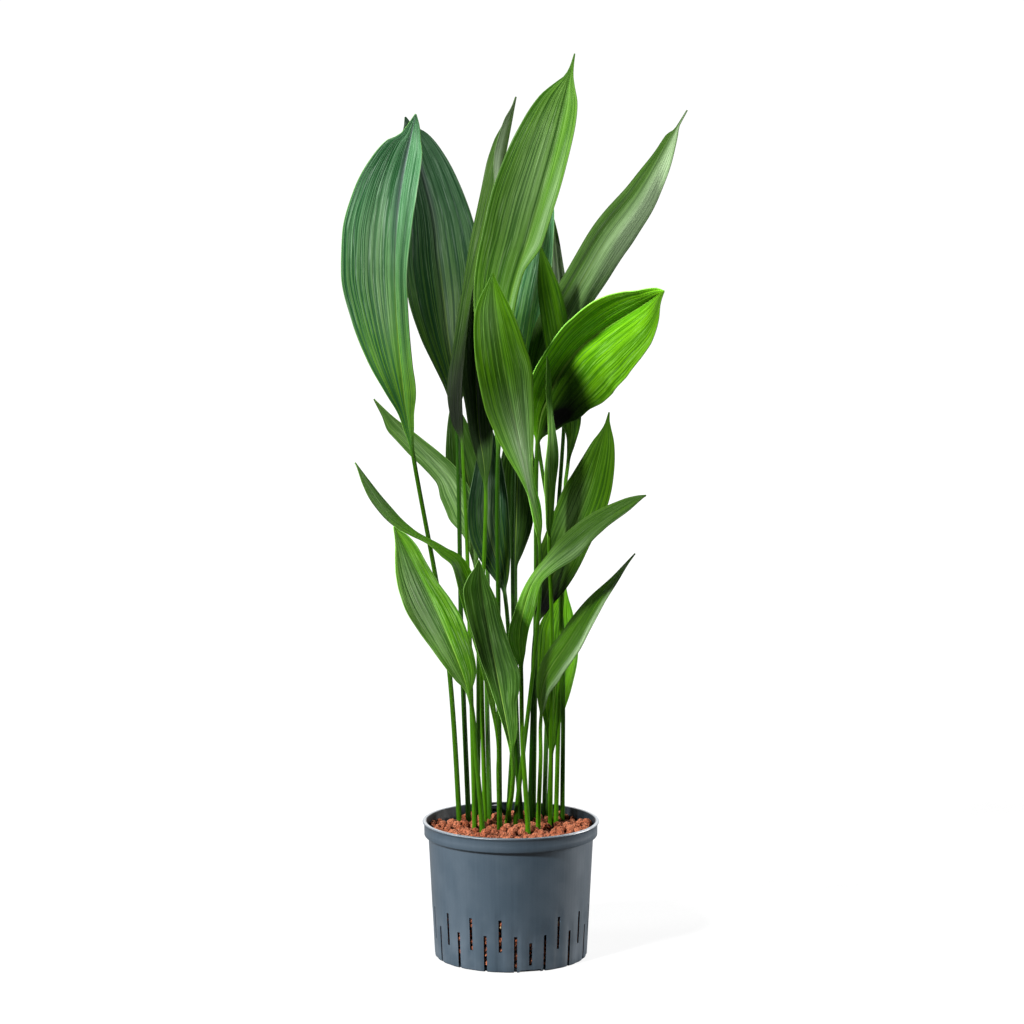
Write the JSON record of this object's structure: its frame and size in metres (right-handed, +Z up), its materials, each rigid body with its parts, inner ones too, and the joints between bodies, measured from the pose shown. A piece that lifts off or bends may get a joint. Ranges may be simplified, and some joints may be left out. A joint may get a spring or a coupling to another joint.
{
  "type": "potted cast iron plant",
  "caption": "Cast iron plant with long-stalked broad blades rising from clay granules in a slotted round culture pot.",
  "frame": {"origin": "centre of the pot's flat underside, on the surface that it stands on", "axes": "+Z up along the pot's axis, -Y towards the front, +X to the right of a viewer in front"},
  "size_m": [0.2979, 0.2947, 0.7852],
  "materials": {
    "pot_plastic": "matte",
    "clay": "matte",
    "rhizome": "matte",
    "leaf_bright": "satin",
    "leaf_dark": "satin"
  },
  "bodies": {
    "root": {"pot": "pot_plastic", "clay_granules": "clay", "rhizome": "rhizome", "leaf_left_tall": "leaf_bright", "leaf_left_back": "leaf_dark", "leaf_centre_back": "leaf_dark", "leaf_centre_tall": "leaf_bright", "leaf_right_tall": "leaf_bright", "leaf_right_broad": "leaf_bright", "leaf_edge_on": "leaf_bright", "leaf_right_inner": "leaf_bright", "leaf_hidden_centre": "leaf_dark", "leaf_hidden_right": "leaf_dark", "leaf_front": "leaf_bright", "leaf_right_middle": "leaf_bright", "leaf_right_arching": "leaf_bright", "leaf_left_low": "leaf_bright", "leaf_front_low": "leaf_bright", "leaf_right_low": "leaf_bright", "leaf_right_low_back": "leaf_dark", "leaf_left_arching": "leaf_bright", "leaf_left_twisted": "leaf_bright", "leaf_dark_left": "leaf_dark", "leaf_dark_centre": "leaf_dark", "leaf_inner_left": "leaf_bright", "leaf_inner_right": "leaf_bright"}
  },
  "joints": []
}
